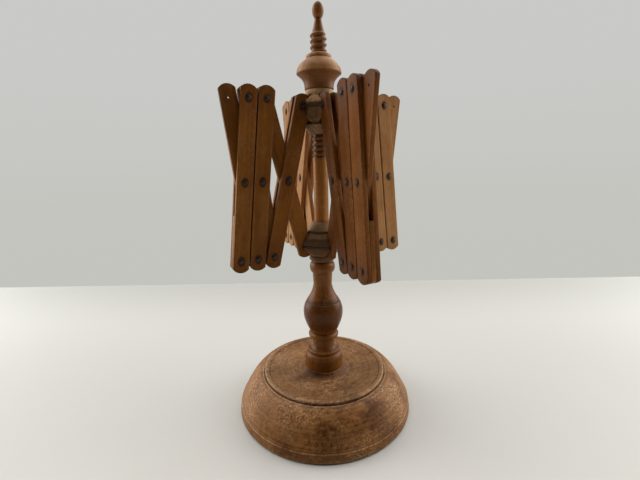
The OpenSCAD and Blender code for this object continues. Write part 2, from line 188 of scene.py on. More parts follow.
# wood whose fibres run along the third axis of the coordinates it is given
def woodLook(name, wood):
    look = Look(name)
    turned = wood["along"] == "object"
    if turned:
        spot = look.node("ShaderNodeTexCoord", out=3)
        where = look.stretch(spot, (1, 1, 1), wood["turn"], wood["shift"])
    else:
        where = look.note("grain", 1)

    def pattern(key, place, shift=(0, 0, 0)):
        scale, detail, rough = figure[key]
        return look.noise(look.stretch(place, scale, shift=shift), detail=detail, rough=rough)

    # above 0 on worn edges, below 0 in grooves
    edge = look.note("edge", 2)
    # figure: slow clouds, streaks along the fibres, small mottling, and rings left by the lathe
    cloud, streak, band, mottle = [pattern(key, where) for key in ("cloud", "streak", "band", "mottle")]
    tone = 0.5
    if turned:
        out = look.vector("LENGTH", look.stretch(spot, (1, 1, 0)))
        height = look.node("ShaderNodeSeparateXYZ", {}, {0: spot}, 2)
        rings = look.node("ShaderNodeCombineXYZ", {}, {0: figure["rings"] * out, 2: figure["rings"] * height})
        tone = wood["lathe"] * (look.noise(rings, detail=3.0) - 0.5) + tone
    for key, part in (("cloud", cloud), ("streak", streak), ("band", band), ("mottle", mottle)):
        tone = tone + wood[key] * (part - 0.5)
    stops = [(0.1, wood["dark"]), (0.5, wood["mid"]), (0.9, wood["light"])]
    colour = look.node("ShaderNodeValToRGB", {"stops": stops}, {0: tone.top()})
    pores = pattern("pores", where).step(*sets["pores"])
    colour = look.blend(colour, look.tint(wood["stain"]), pores * wood["pores"])
    # rubbed places: pale where the finish is gone, in patches, flecks and along edges
    patch, grit = pattern("patch", where), pattern("grit", where)

    def around(x, y, z, reach):
        far = look.vector("DISTANCE", spot, (x * mm, y * mm, z * mm))
        uneven = far + aged["ragged"] * reach * mm * (patch + mottle - 1)
        return 1 - uneven.step(aged["core"] * reach * mm, reach * mm)

    bare = patch.step(*sets["rub"]) * wood["rub"]
    if turned:
        for x, y, z, reach, amount in wood["rubs"]:
            bare = bare + around(x, y, z, reach) * amount
    rub = (bare * grit.step(*sets["rubGrit"])).top()
    fleck = grit.step(*sets["fleck"]) * wood["flecks"]
    worn = (edge.step(*sets["edge"]) * grit.step(*sets["edgeGrit"]) * wood["edgeWear"]).top()
    colour = look.blend(colour, look.tint(wood["pale"]), (rub + fleck + worn).top())
    # stains and dirt: dark blots and grooves
    blot = pattern("blot", where, figure["blotShift"]).step(*sets["blot"])
    groove = (0.0 - edge).step(*sets["groove"])
    dirt = (blot * wood["stains"] + groove * wood["dirt"]).top()
    colour = look.blend(colour, look.tint(wood["stain"]), dirt)
    # slats: darker towards the ends where they are handled, dark on the end grain, and stained by the iron
    # round each rivet
    if not turned:
        far = look.vector("LENGTH", look.stretch(look.note("rivet", 1), aged["ironDrawn"]))
        ends = look.note("ends", 2)
        handled = (ends + 0.5 * (cloud + patch - 1)).step(*sets["handled"]) * wood["handled"]
        colour = look.blend(colour, look.tint(aged["handled"]), handled.top(), "MULTIPLY")
        endGrain = edge.step(*sets["endEdge"]) * ends.step(*sets["end"]) * wood["endGrain"]
        colour = look.blend(colour, look.tint(wood["iron"]), endGrain)
        mark = (1 - (far + aged["ironRagged"] * mm * (patch - 0.5)).step(*sets["iron"])) * wood["ironMark"]
        colour = look.blend(colour, look.tint(wood["iron"]), mark)
    # turned pieces: bands between two heights and inside a radius, darker or, with a shade over 1, paler,
    # and darker spots round a point; the lists say which bands and spots are painted light or shade
    if turned:
        soft, softR = aged["bandSoft"], aged["bandSoftR"]
        for low, high, reach, amount, shade in wood["bands"]:
            above = height.step((low - soft) * mm, (low + soft) * mm)
            below = 1 - height.step((high - soft) * mm, (high + soft) * mm)
            ragged = out + aged["bandRagged"] * mm * (patch - 0.5)
            inside = above * below * (1 - ragged.step((reach - softR) * mm, (reach + softR) * mm))
            share = inside * (amount + 0.5 * amount * (cloud - 0.5))
            colour = look.blend(colour, look.tint(shade), share, "MULTIPLY")
        for x, y, z, reach, amount in wood["marks"]:
            runs = pattern("runs", spot).step(*sets["runs"])
            share = around(x, y, z, reach) * (aged["runLeast"] + (1 - aged["runLeast"]) * runs) * amount
            colour = look.blend(colour, look.tint(aged["mark"]), share, "MULTIPLY")
    rough = wood["rough"] + aged["roughMottle"] * (mottle - 0.5) + aged["roughRub"] * rub
    rough = (rough + aged["roughWorn"] * worn + aged["roughBlot"] * blot).top()
    high = aged["highStreak"] * streak - aged["highPores"] * pores
    high = high + aged["highRub"] * grit * rub + aged["highMottle"] * mottle
    relief = look.bump(high, wood["bump"], aged["depth"])
    return look.surface(colour, rough, relief, specular=wood["specular"], coat=wood["coat"])


# bands are (low, high, inside radius, amount, shade), marks and rubs (x, y, z, reach, amount), in millimetres
baseWood = {"along": "object", "turn": (0, math.pi / 2, 0.35), "shift": (0.0, 0.0, 0.0),
            "dark": (0.095, 0.032, 0.006), "mid": (0.225, 0.098, 0.026), "light": (0.340, 0.175, 0.064),
            "pale": (0.540, 0.350, 0.215), "stain": (0.070, 0.023, 0.005), "cloud": 0.60, "streak": 0.15,
            "band": 0.15, "mottle": 1.20, "pores": 0.25, "flecks": 0.42, "rub": 0.55, "edgeWear": 0.60,
            "stains": 0.65, "dirt": 0.75, "rough": 0.52, "bump": 0.30, "specular": 0.20, "coat": 0.0,
            "lathe": 0.95,
            # the band from -5 to 1.6 mm is painted shade along the bottom edge, where the base stands on the
            # table
            "bands": [(38.9, 60, 30, 0.75, (0.70, 0.50, 0.27)), (-5, 37.5, 99, 0.9, (1.0, 0.90, 0.72)),
                      (37.5, 45, 64, 0.8, (0.78, 0.76, 0.67)), (-5, 1.6, 99, 0.9, (0.40, 0.36, 0.32)),
                      (31, 38.4, 99, 0.7, (1.12, 1.10, 1.08))],
            # the mark at (-20, -42, 39) is a painted shadow on the front of the disc
            "marks": [(-34, -78, 20, 22, 1.0), (13, -76, 26, 20, 0.95), (-66, -50, 12, 18, 0.4),
                      (-20, -42, 39, 44, 0.75)],
            "rubs": [(-80, 6, 22, 34, 0.75), (48, -66, 24, 30, 0.75), (-60, -44, 33, 24, 0.5),
                     (70, -30, 20, 26, 0.55), (-40, 10, 40, 30, 0.3), (-32, -24, 40, 15, 0.7)]}
postWood = {"along": "object", "turn": (0, 0, 0), "shift": (0.0, 0.0, 0.0),
            "dark": (0.125, 0.038, 0.006), "mid": (0.250, 0.092, 0.016), "light": (0.380, 0.165, 0.044),
            "pale": (0.460, 0.260, 0.110), "stain": (0.060, 0.018, 0.004), "cloud": 0.60, "streak": 0.40,
            "band": 0.40, "mottle": 0.40, "pores": 0.20, "flecks": 0.10, "rub": 0.16, "edgeWear": 0.22,
            "stains": 0.40, "dirt": 0.80, "rough": 0.30, "bump": 0.18, "specular": 0.14, "coat": 0.05,
            "lathe": 0.30,
            "bands": [(0, 163, 99, 0.9, (0.66, 0.60, 0.52)), (88, 122, 99, 0.85, (0.50, 0.42, 0.38)),
                      (340, 420, 99, 0.8, (0.72, 0.68, 0.66)), (265, 340, 99, 0.9, (0.62, 0.60, 0.60)),
                      (165, 264, 99, 0.8, (1.28, 1.30, 1.25))],
            "marks": [(-3, -14, 125, 13, 0.5)],
            "rubs": [(-14, -14, 138, 16, 0.35), (-3, -14, 125, 11, 0.6), (-6, -16, 114, 8, 0.5)]}
# the nut's band darkens its lower part, the cove that faces down, as painted shade
nutWood = {**postWood, "shift": (0.2, 0.1, 0.3), "rub": 0.25, "rough": 0.42, "coat": 0.0,
           "dark": (0.220, 0.090, 0.024), "mid": (0.410, 0.190, 0.064), "light": (0.540, 0.295, 0.122),
           "bands": [(320, 340.5, 99, 0.95, (0.42, 0.33, 0.24))], "marks": [], "rubs": []}
hubWood = {**postWood, "shift": (0.5, 0.2, 0.1), "stains": 0.50, "rub": 0.40, "mottle": 0.7, "rough": 0.52,
           "dark": (0.120, 0.060, 0.024), "mid": (0.235, 0.132, 0.060), "light": (0.350, 0.220, 0.115),
           "pale": (0.440, 0.300, 0.175), "coat": 0.0, "marks": [], "rubs": [],
           # hub bands, low to high: the lower hub's underside darker as painted shade, the lower hub darker
           # in two steps above the wire, a painted shadow line where each hub's block meets its collar, the
           # upper hub's underside and groove darker as painted shade, and the upper hub's top paler as
           # painted light
           "bands": [(160, 179, 99, 0.9, (0.50, 0.40, 0.30)), (179.3, 187.5, 99, 0.9, (0.32, 0.27, 0.23)),
                     (187.5, 192.5, 99, 0.6, (0.80, 0.80, 0.80)), (192.2, 194.4, 99, 0.9, (0.20, 0.15, 0.11)),
                     (295.0, 297.2, 99, 0.9, (0.20, 0.15, 0.11)), (297, 314.0, 99, 0.7, (0.54, 0.42, 0.30)),
                     (310.5, 314.0, 99, 0.5, (0.42, 0.36, 0.32)), (314.5, 330, 99, 0.9, (2.2, 2.3, 2.4))]}
hubEdgeWood = {**hubWood, "mid": (0.300, 0.182, 0.092), "light": (0.410, 0.265, 0.145)}
slatWood = {"along": "grain", "stain": (0.070, 0.022, 0.005), "iron": (0.036, 0.020, 0.012),
            "dark": (0.115, 0.036, 0.005), "mid": (0.255, 0.094, 0.016), "light": (0.375, 0.165, 0.042),
            "pale": (0.480, 0.280, 0.140), "cloud": 0.70, "streak": 0.50, "band": 0.50, "mottle": 0.30,
            "pores": 0.30, "flecks": 0.08, "rub": 0.18, "edgeWear": 0.40, "stains": 0.30, "dirt": 0.6,
            "ironMark": 0.85, "handled": 0.65, "endGrain": 0.75, "rough": 0.46, "bump": 0.20,
            "specular": 0.08, "coat": 0.0}
# the back arms' slats: paler wood, and partly painted light falling on them from behind
paleLitSlatWood = {**slatWood, "handled": 0.25, "dark": (0.225, 0.090, 0.025), "mid": (0.420, 0.202, 0.071),
                "light": (0.530, 0.297, 0.128)}
redSlatWood = {**slatWood, "dark": (0.092, 0.025, 0.004), "mid": (0.205, 0.067, 0.011),
               "light": (0.335, 0.137, 0.032)}
spacerWood = {**postWood, **{key: slatWood[key] for key in ("dark", "mid", "light", "pale", "stain")},
              "shift": (0.8, 0.3, 0.6), "coat": 0.0, "bands": [], "marks": [], "rubs": []}


# dark iron with a dull skin and a little rust
def ironLook(name, iron):
    look = Look(name)
    where = look.node("ShaderNodeTexCoord", out=3)
    rust = look.noise(where, iron["rustScale"], 4.0, 0.6).step(*iron["rustSets"])
    skin = look.noise(where, iron["skinScale"], 3.0, 0.6)
    colour = look.blend(look.tint(iron["skin"]), look.tint(iron["bright"]), skin.step(*iron["brightSets"]))
    colour = look.blend(colour, look.tint(iron["rust"]), rust * iron["rusting"])
    rough = (iron["rough"] + iron["roughRust"] * rust + iron["roughSkin"] * (skin - 0.5)).top()
    metal = (iron["metal"] - iron["metalRust"] * rust).top()
    relief = look.bump(skin + iron["highRust"] * rust, iron["bump"], iron["depth"])
    return look.surface(colour, rough, relief, metal)


darkIron = {"skin": (0.036, 0.025, 0.018), "bright": (0.080, 0.062, 0.048), "rust": (0.066, 0.027, 0.011),
            "rusting": 0.9, "rustScale": 420.0, "skinScale": 1500.0, "rustSets": (0.48, 0.68),
            "brightSets": (0.4, 0.75), "rough": 0.38, "roughRust": 0.3, "roughSkin": 0.2, "metal": 0.55,
            "metalRust": 0.45, "highRust": 0.6, "bump": 0.4, "depth": 0.00025}
finish = {"worn_base_wood": woodLook("wornBaseWood", baseWood),
          "turned_wood": woodLook("turnedPostWood", postWood),
          "nut_wood": woodLook("turnedNutWood", nutWood), "hub_wood": woodLook("hubWood", hubWood),
          "hub_edge": woodLook("hubEdgeWood", hubEdgeWood), "slat_wood": woodLook("slatWood", slatWood),
          "pale_lit_slat": woodLook("paleLitSlatWood", paleLitSlatWood),
          "red_slat": woodLook("redSlatWood", redSlatWood),
          "spacer_wood": woodLook("spacerWood", spacerWood), "dark_iron": ironLook("darkIron", darkIron)}
print("finishes made:", len(finish))


# quads of a grid of points: each row joins the next, and the last column joins the first
def gridFaces(rows, cols, closeRows=False):
    i = np.arange(rows if closeRows else rows - 1)[:, None]
    j = np.arange(cols)[None, :]
    a, b = i * cols + j, i * cols + (j + 1) % cols
    up = ((i + 1) % rows) * cols
    return np.stack([a, b, up + (j + 1) % cols, up + j], -1).reshape(-1, 4)


# puts points and faces into a mesh, closes seams and poles, and turns the faces outwards
def addPiece(name, points, faces, look, body, node, notes=None):
    mesh = bpy.data.meshes.new(name)
    mesh.from_pydata(points.reshape(-1, 3).tolist(), [], faces.tolist())
    for key, value in (notes or {}).items():
        wide = value.ndim == 2
        layer = mesh.attributes.new(key, "FLOAT_VECTOR" if wide else "FLOAT", "POINT")
        layer.data.foreach_set("vector" if wide else "value", value.astype(np.float32).ravel())
    bm = bmesh.new()
    bm.from_mesh(mesh)
    bmesh.ops.remove_doubles(bm, verts=bm.verts, dist=mergeGap)
    bmesh.ops.dissolve_degenerate(bm, edges=bm.edges, dist=flatGap)
    bmesh.ops.recalc_face_normals(bm, faces=bm.faces)
    bm.to_mesh(mesh)
    bm.free()
    mesh.shade_smooth()
    mesh.materials.append(look)
    piece = bpy.data.objects.new(name, mesh)
    bpy.context.scene.collection.objects.link(piece)
    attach(piece, body)
    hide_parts(node)


# curves of a turned profile as (radius, height) points in millimetres
along = np.linspace(0, 1, 25)


def halfRound(r, z0, z1, rMax):
    # half an ellipse standing out from a cylinder
    z = (z0 + z1) / 2 - (z1 - z0) / 2 * np.cos(np.pi * along)
    return np.stack([r + (rMax - r) * np.sin(np.pi * along), z], 1)


def roundIn(r0, z0, r1, z1):
    # quarter of an ellipse that starts upright and ends level
    a = np.pi / 2 * along
    return np.stack([r1 + (r0 - r1) * np.cos(a), z0 + (z1 - z0) * np.sin(a)], 1)


def hollowIn(r0, z0, r1, z1):
    # quarter of an ellipse that starts level and ends upright
    a = np.pi / 2 * along
    return np.stack([r0 + (r1 - r0) * np.sin(a), z1 - (z1 - z0) * np.cos(a)], 1)


def belly(r0, z0, r1, z1):
    # the radius swells as a quarter sine
    return np.stack([r0 + (r1 - r0) * np.sin(np.pi / 2 * along), z0 + (z1 - z0) * along], 1)


def flare(r0, z0, r1, z1, power):
    # the radius changes as a power of the height, slowly at first
    return np.stack([r0 + (r1 - r0) * along ** power, z0 + (z1 - z0) * along], 1)


def settle(r0, z0, r1, z1, power):
    # the same the other way round, slowly at last
    return np.stack([r1 + (r0 - r1) * (1 - along) ** power, z0 + (z1 - z0) * along], 1)


def beadOver(r0, r1, z, h):
    # half an ellipse lying on a level face
    return np.stack([(r0 + r1) / 2 + (r0 - r1) / 2 * np.cos(np.pi * along), z + h * np.sin(np.pi * along)], 1)


# the fine step, how far the bell reaches in times its width, how strongly bends show, and the least length
walk = {"fine": 0.05, "bell": 4, "note": 1.2, "least": 1e-9}


# walks a profile in fine even steps, eases its corners by a bell-shaped average, and notes how it bends
def softProfile(parts, ease, pace):
    line = np.concatenate([np.atleast_2d(np.array(p, float)) for p in parts])
    run = np.concatenate([[0], np.cumsum(np.hypot(*np.diff(line, axis=0).T))])
    keep = np.concatenate([[True], np.diff(run) > walk["least"]])
    line, run = line[keep], run[keep]
    fine = walk["fine"]
    at = np.linspace(0, run[-1], int(run[-1] / fine))
    dense = np.stack([np.interp(at, run, line[:, 0]), np.interp(at, run, line[:, 1])], 1)
    reach = int(walk["bell"] * ease / fine)
    bell = np.exp(-0.5 * (np.arange(-reach, reach + 1) * fine / ease) ** 2)
    bell /= bell.sum()
    before, after = 2 * dense[:1] - dense[reach:0:-1], 2 * dense[-1:] - dense[-2:-reach - 2:-1]
    padded = np.concatenate([before, dense, after])
    soft = np.stack([np.convolve(padded[:, k], bell, "valid") for k in (0, 1)], 1)
    slope = np.unwrap(np.arctan2(*np.gradient(soft, axis=0).T[::-1]))
    bend = np.convolve(np.pad(np.gradient(slope) / fine, reach, "edge"), bell, "valid")
    run2 = np.concatenate([[0], np.cumsum(np.hypot(*np.diff(soft, axis=0).T))])
    ticks = np.linspace(0, run2[-1], int(run2[-1] / pace))
    out = np.stack([np.interp(ticks, run2, soft[:, 0]), np.interp(ticks, run2, soft[:, 1])], 1)
    out[:, 0] = np.maximum(out[:, 0], 0)
    return out, np.clip(np.interp(ticks, run2, bend) * walk["note"], -1, 1)


# carries a profile round the post's axis: x = r cos a, y = r sin a, with r lifted by a function of a and z
def turnPiece(name, profile, bend, sides, swell, look, body, node):
    a = np.linspace(0, 2 * np.pi, sides, endpoint=False)[None, :]
    r, z = profile[:, :1], profile[:, 1:]
    lift, wear = swell(a, z) if swell else (0, 0)
    rr = r + lift + 0 * a
    points = np.stack([rr * np.cos(a), rr * np.sin(a), z + 0 * a], -1) * mm
    notes = {"edge": (bend[:, None] + wear + 0 * a).ravel()}
    addPiece(name, points, gridFaces(len(profile), sides), look, body, node, notes)


baseSize = {"low": 93, "rimLean": 1.4, "rimH": 10, "top": 38.5, "disc": 65, "dish": 2.7, "beadW": 4.6,
            "beadH": 1, "groove": 1.6, "step": 1.8, "moundH": 5.5, "moundW": 7.5, "lip": 0.7, "edge": 1.5,
            "score": 0.6, "fit": 0.06, "floorGap": 0.1, "shoulderPower": 0.55, "dishPower": 0.5,
            "ease": 0.35, "pace": 0.7, "sides": 160}


# the base's outline runs from the middle of its underside over the rim and the disc into the socket
def makeBase(size, foot, tenon, tenonL):
    top, rim, s = size["top"], size["low"] - size["rimLean"], size["score"]
    seat, hole, floor = foot + size["fit"], tenon + size["fit"], top - tenonL - size["floorGap"]
    discZ = top + size["dish"]
    shoulderZ = discZ - size["step"]
    disc, bead = size["disc"], size["disc"] - size["beadW"]
    moundR, moundZ = seat + size["moundW"], top + size["moundH"]
    parts = [[(0, 0)], [(size["low"] - size["edge"], 0)], [(size["low"], size["edge"])],
             [(rim, size["rimH"])],
             settle(rim - s, size["rimH"], disc + size["groove"], shoulderZ, size["shoulderPower"]),
             [(disc, shoulderZ - size["groove"])],
             beadOver(disc, bead, discZ, size["beadH"]),
             settle(bead - s, discZ, moundR + s, top, size["dishPower"]),
             hollowIn(moundR, top, seat + size["lip"], moundZ),
             [(seat, moundZ)], [(seat, top)], [(hole, top)], [(hole, floor)], [(0, floor)]]
    profile, bend = softProfile(parts, size["ease"], size["pace"])
    turnPiece("base_turned", profile, bend, size["sides"], None, finish["worn_base_wood"], "stand", "base")


# the screw's ridge has a crest and a power for its form, and fades after runIn; hollow eases the ball's neck
postSize = {"foot": 20.4, "footH": 15.5, "footRoundH": 6.5, "ring": 17.6, "ringH": 4, "neck": 12,
            "coveH": 6.5, "neckH": 5, "bead": 16.1, "beadH": 7.6, "vaseFoot": 14.2, "vase": 20.9,
            "vaseLow": 22, "vaseHigh": 12.4, "vaseScore": 17.6, "vaseNeck": 19.6, "vasePower": 2,
            "neckPower": 1.8, "waist": 9.7, "waistH": 12, "topBead": 13.1, "topBeadH": 13.5, "seatH": 2.2,
            "score": 0.6, "rod": 7.3, "rodL": 102, "root": 6.4, "thread": 1.25, "pitch": 5.0, "screwL": 109,
            "crest": 0.58, "crestPower": 1.6, "runIn": 0.8, "fade": 1.5, "crestWear": 0.9, "crestLevel": 0.45,
            "tipNeck": 3.1, "taperH": 12, "taperPower": 1.4, "tip": 5.2, "tipH": 14, "hollow": 0.55,
            "hollowL": 4.5, "hollowRise": 1.2, "tenon": 12, "tenonL": 29, "ease": 0.22, "pace": 0.5,
            "sides": 88}


# the post's outline runs from the tenon to the ball tip, each part standing on the one below
def makePost(size, z0):
    s = size["score"]
    zRing = z0 + size["footH"] + size["footRoundH"]
    zCove = zRing + size["ringH"]
    zNeck = zCove + size["coveH"]
    zBead = zNeck + size["neckH"]
    zVase = zBead + size["beadH"]
    zWide = zVase + size["vaseLow"]
    zScore = zWide + size["vaseHigh"]
    zWaist = zScore + size["vaseNeck"]
    zTopBead = zWaist + size["waistH"]
    zRod = zTopBead + size["topBeadH"]
    zScrew = zRod + size["rodL"]
    zTip = zScrew + size["screwL"]
    zBall = zTip + size["taperH"]
    ringTop, seat = size["ring"] - 2 * s, size["waist"] + s
    a0 = math.asin(size["tipNeck"] / size["tip"])
    a = a0 + (math.pi - a0) * along[1:]
    ballZ = zBall + size["tipH"] * (math.cos(a0) - np.cos(a)) / (1 + math.cos(a0))
    up = ballZ - zBall
    hollow = size["hollow"] * np.clip(1 - up / size["hollowL"], 0, 1) ** 2
    ballR = size["tip"] * np.sin(a) - hollow * np.clip(up / size["hollowRise"], 0, 1)
    parts = [[(0, z0 - size["tenonL"])], [(size["tenon"], z0 - size["tenonL"])], [(size["tenon"], z0)],
             [(size["foot"], z0)],
             roundIn(size["foot"], z0 + size["footH"], size["ring"] - s, zRing),
             [(size["ring"], zRing + s)], [(size["ring"], zCove - s)],
             hollowIn(ringTop, zCove, size["neck"], zNeck),
             halfRound(size["neck"], zBead, zVase, size["bead"]),
             belly(size["vaseFoot"], zVase + s, size["vase"], zWide),
             flare(size["vase"], zWide + s, size["vaseScore"], zScore, size["vasePower"]),
             [(size["vaseScore"] - 2 * s, zScore + s)],
             settle(size["vaseScore"] - s, zScore + 2 * s, size["waist"], zWaist, size["neckPower"]),
             halfRound(seat, zTopBead, zRod - size["seatH"], size["topBead"]),
             [(seat, zRod)], [(size["rod"], zRod)], [(size["rod"], zScrew)],
             [(size["root"], zScrew + s)], [(size["root"], zTip)],
             settle(size["root"] - s, zTip + s, size["tipNeck"], zBall, size["taperPower"]),
             np.stack([ballR, ballZ], 1)]
    profile, bend = softProfile(parts, size["ease"], size["pace"])

    # the wooden screw: a rounded ridge that climbs one pitch in each turn, fading at both ends
    def ridge(a, z):
        phase = z / size["pitch"] - a / (2 * np.pi)
        wave = np.clip(0.5 + size["crest"] * np.cos(2 * np.pi * phase), 0, 1) ** size["crestPower"]
        rise, fall = (z - zScrew - size["runIn"]) / size["fade"], (zTip - z) / size["fade"]
        fade = np.clip(rise, 0, 1) * np.clip(fall, 0, 1)
        return size["thread"] * wave * fade, size["crestWear"] * (wave - size["crestLevel"]) * fade

    turnPiece("post_turned", profile, bend, size["sides"], ridge, finish["turned_wood"], "stand", "post")


nutSize = {"bore": 7.9, "foot": 13.6, "footH": 1.2, "wide": 20.8, "coveH": 13.6, "domeH": 12.6,
           "ledge": 11.6, "ledgeH": 3.2, "topH": 1.8, "score": 0.6, "lip": 0.7, "covePower": 2.6,
           "domePower": 2.1, "ease": 0.25, "pace": 0.6, "sides": 96}


# the nut's outline runs from the middle of its bore down, out round the bulb and in again at the top
def makeNut(size):
    s, lip, bore, z0 = size["score"], size["lip"], size["bore"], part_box("nut")[0][2] / mm
    z1 = z0 + size["coveH"]
    z2 = z1 + size["domeH"]
    z3 = z2 + size["ledgeH"]
    z4 = z3 + size["topH"]
    parts = [[(bore, (z0 + z4) / 2)], [(bore, z0)], [(size["foot"], z0)],
             flare(size["foot"], z0 + size["footH"], size["wide"], z1, size["covePower"]),
             flare(size["wide"], z1 + s, size["ledge"] + lip, z2, size["domePower"]),
             [(size["ledge"], z2 + s)], [(size["ledge"], z3)],
             [(bore + lip, z4)], [(bore, z4)], [(bore, (z0 + z4) / 2)]]
    profile, bend = softProfile(parts, size["ease"], size["pace"])
    turnPiece("nut_turned", profile, bend, size["sides"], None, finish["nut_wood"], "nut", "nut")


makeBase(baseSize, postSize["foot"], postSize["tenon"], postSize["tenonL"])
makePost(postSize, baseSize["top"])
makeNut(nutSize)
print("turned pieces made")

# the arms as the CAD lays them out, in millimetres
armSize = {"pivotR": 20.4, "lowZ": 178.9, "hubLean": 13.6, "hubIn": 67.7, "half": 71, "width": 14.5,
           "thick": 4.4, "end": 11, "bow": 3.6, "edgeGap": 1.3, "layerGap": 0.15, "round": 0.55,
           "rivet": 1.25, "head": 2.4, "headH": 1.3, "tipHole": 1.0, "wire": 0.9, "run": 0.06,
           "fixed": 0.02, "slack": 2.1}


# slats lean so that neighbours in one layer are an edge gap apart, and crossings stand in even steps outwards
def armLayout(size):
    lean = math.degrees(math.asin((size["width"] + size["edgeGap"]) / size["half"])) / 2
    c = math.cos(math.radians(size["hubLean"]))
    s = math.sin(math.radians(size["hubLean"]))
    hubOut = size["half"] * math.cos(math.radians(lean)) / c
    r1 = size["pivotR"] + (size["hubIn"] + hubOut) * s
    step = size["half"] * math.sin(math.radians(lean))
    return {"lean": [size["hubLean"], lean, lean], "near": [size["hubIn"], size["half"], size["half"]],
            "far": [hubOut, size["half"], size["half"]], "midZ": size["lowZ"] + size["hubIn"] * c,
            "crossR": [size["pivotR"] + size["hubIn"] * s, r1 + step, r1 + 3 * step],
            "pairIn": size["thick"] / 2 + size["layerGap"]}


layout = armLayout(armSize)


# turns points of a slat's own frame (across, through, along) to their place in an arm
def toArm(points, k, i, side):
    a = math.radians(side * layout["lean"][i])
    x, y, z = points[..., 0], points[..., 1], points[..., 2]
    out = x * math.cos(a) + z * math.sin(a) + layout["crossR"][i]
    up = z * math.cos(a) - x * math.sin(a) + layout["midZ"]
    return np.stack([out, y, up], -1) @ turnZ(90 * (k - 1)).T * mm


# points round an eye, along a side, across an end and round an edge; rows of a face as shares of its width;
# and the edge note of each row from the middle of a face to the middle of a side
slatMesh = {"eyePoints": 13, "rungs": 15, "rungGap": 2, "fanPoints": 15, "edgePoints": 4, "decimals": 5,
            "rim": 0.03, "flat": 0.93, "open": 1e-6, "edgeNote": [0.0, 0.0, 0.0, 0.2, 0.7, 0.9, 0.2]}


# a slat: its outline goes round in one direction and the rounded edge in the other, and the faces close on a
# middle line that opens into an eye at each rivet hole
def slatShell(up, down, y0, holes, size):
    half, bow, thick, ease = size["width"] / 2, size["bow"], size["thick"], size["round"]
    top, bottom = up + size["end"], -down - size["end"]
    bowR = (half * half + bow * bow) / (2 * bow)
    spots, radii = np.array(holes).T
    eyeCos = np.cos(np.linspace(0, np.pi, slatMesh["eyePoints"]))
    eyes = np.concatenate([h + r * eyeCos for h, r in holes])
    rungs = np.linspace(bottom + bow, top - bow, slatMesh["rungs"])
    clear = (np.abs(rungs[:, None] - spots) > radii + slatMesh["rungGap"]).all(1)
    clear[[0, -1]] = True
    ladder = np.clip(np.concatenate([eyes, rungs[clear]]), bottom + bow, top - bow)
    ladder = np.unique(np.round(ladder, slatMesh["decimals"]))
    fan = np.linspace(-1, 1, slatMesh["fanPoints"])[1:-1] * math.asin(half / bowR)
    side = np.stack([half + 0 * ladder, ladder], 1)
    topArc = np.stack([-bowR * np.sin(fan), top - bowR + bowR * np.cos(fan)], 1)
    lowArc = np.stack([bowR * np.sin(fan), bottom + bowR - bowR * np.cos(fan)], 1)
    outline = np.concatenate([side, topArc, side[::-1] * [-1, 1], lowArc])
    rise = ease * np.clip((outline[:, 1] - top + bow) / bow, 0, 1)
    fall = ease * np.clip((bottom + bow - outline[:, 1]) / bow, 0, 1)
    inset = outline * [1 - ease / half, 1] - np.stack([0 * rise, rise - fall], 1)
    line = np.clip(outline[:, 1], bottom + bow, top - bow)
    eye = sum(np.sqrt(np.maximum(r * r - (line - h) ** 2, 0)) for h, r in holes)
    inner = np.stack([eye * np.sign(outline[:, 0]), line], 1)
    turn = np.linspace(0, np.pi / 2, slatMesh["edgePoints"])
    rim, flat = inner + (inset - inner) * slatMesh["rim"], inner + (inset - inner) * slatMesh["flat"]
    bends = zip(np.sin(turn), np.cos(turn))
    rows = [(inner, thick), (rim, thick), (flat, thick)]
    rows += [(inset * (1 - f) + outline * f, thick - ease * (1 - g)) for f, g in bends]
    rows += [(o, thick - y) for o, y in rows[::-1]]
    points = np.stack([np.stack([o[:, 0], np.full(len(o), y0 + y), o[:, 1]], 1) for o, y in rows])
    n = len(outline)
    faces = gridFaces(len(rows), n)
    last = (len(rows) - 1) * n
    j = np.arange(n)
    pierced = (eye > slatMesh["open"]) | (np.roll(eye, -1) > slatMesh["open"])
    walls = np.stack([j, (j + 1) % n, last + (j + 1) % n, last + j], 1)[pierced]
    edge = np.array(slatMesh["edgeNote"] + slatMesh["edgeNote"][::-1])[:, None] + 0 * line[None, :]
    gap = points[..., 2:] - spots[radii != size["tipHole"]]
    nearest = np.take_along_axis(gap, np.abs(gap).argmin(-1)[..., None], -1)[..., 0]
    rivet = np.stack([points[..., 0], 0 * nearest, np.abs(nearest)], -1) * mm
    ends = np.abs(points[..., 2] - (top + bottom) / 2) / ((top - bottom) / 2)
    return points, np.concatenate([faces, walls]), edge.ravel(), rivet.reshape(-1, 3), ends.ravel()


# the finish of each arm's slats, the slats that are darker towards their ends than the others, and where each
# was cut
# arms 1 and 2 at the back take the paler finish, partly painted light
armFinish = {1: "pale_lit_slat", 2: "pale_lit_slat", 3: "slat_wood", 4: "red_slat"}
darkerEnds = {"arm3_middle_slat_3": 0.40, "arm3_left_slat_1": 0.10, "arm4_right_slat_1": 0.15,
          "arm4_middle_slat_2": 0.20}
cut = {"spread": [0.02, 0.02, 1.0], "arm": 0.37, "crossing": 0.11}


# the grain is the slat's own frame moved to another place in the wood
def addSlat(name, node, body, k, i, side, shell):
    points, faces, edge, rivet, ends = shell
    shift = rng.uniform(-0.5, 0.5, 3) * cut["spread"] + [0, 0, cut["arm"] * k + cut["crossing"] * i]
    notes = {"edge": edge, "rivet": rivet, "ends": ends + darkerEnds.get(node, 0.0),
             "grain": points.reshape(-1, 3) * mm + shift}
    look = finish[armFinish[k]]
    addPiece(name, toArm(points, k, i, side), faces, look, body, node, notes)


rivetMesh = {"domePoints": 7, "domePower": 0.8, "sides": 20, "lump3": 0.05, "lump5": 0.035, "fit": 0.96,
             "shaft": 0.01, "turnArm": 1.7, "turnCrossing": 0.9}


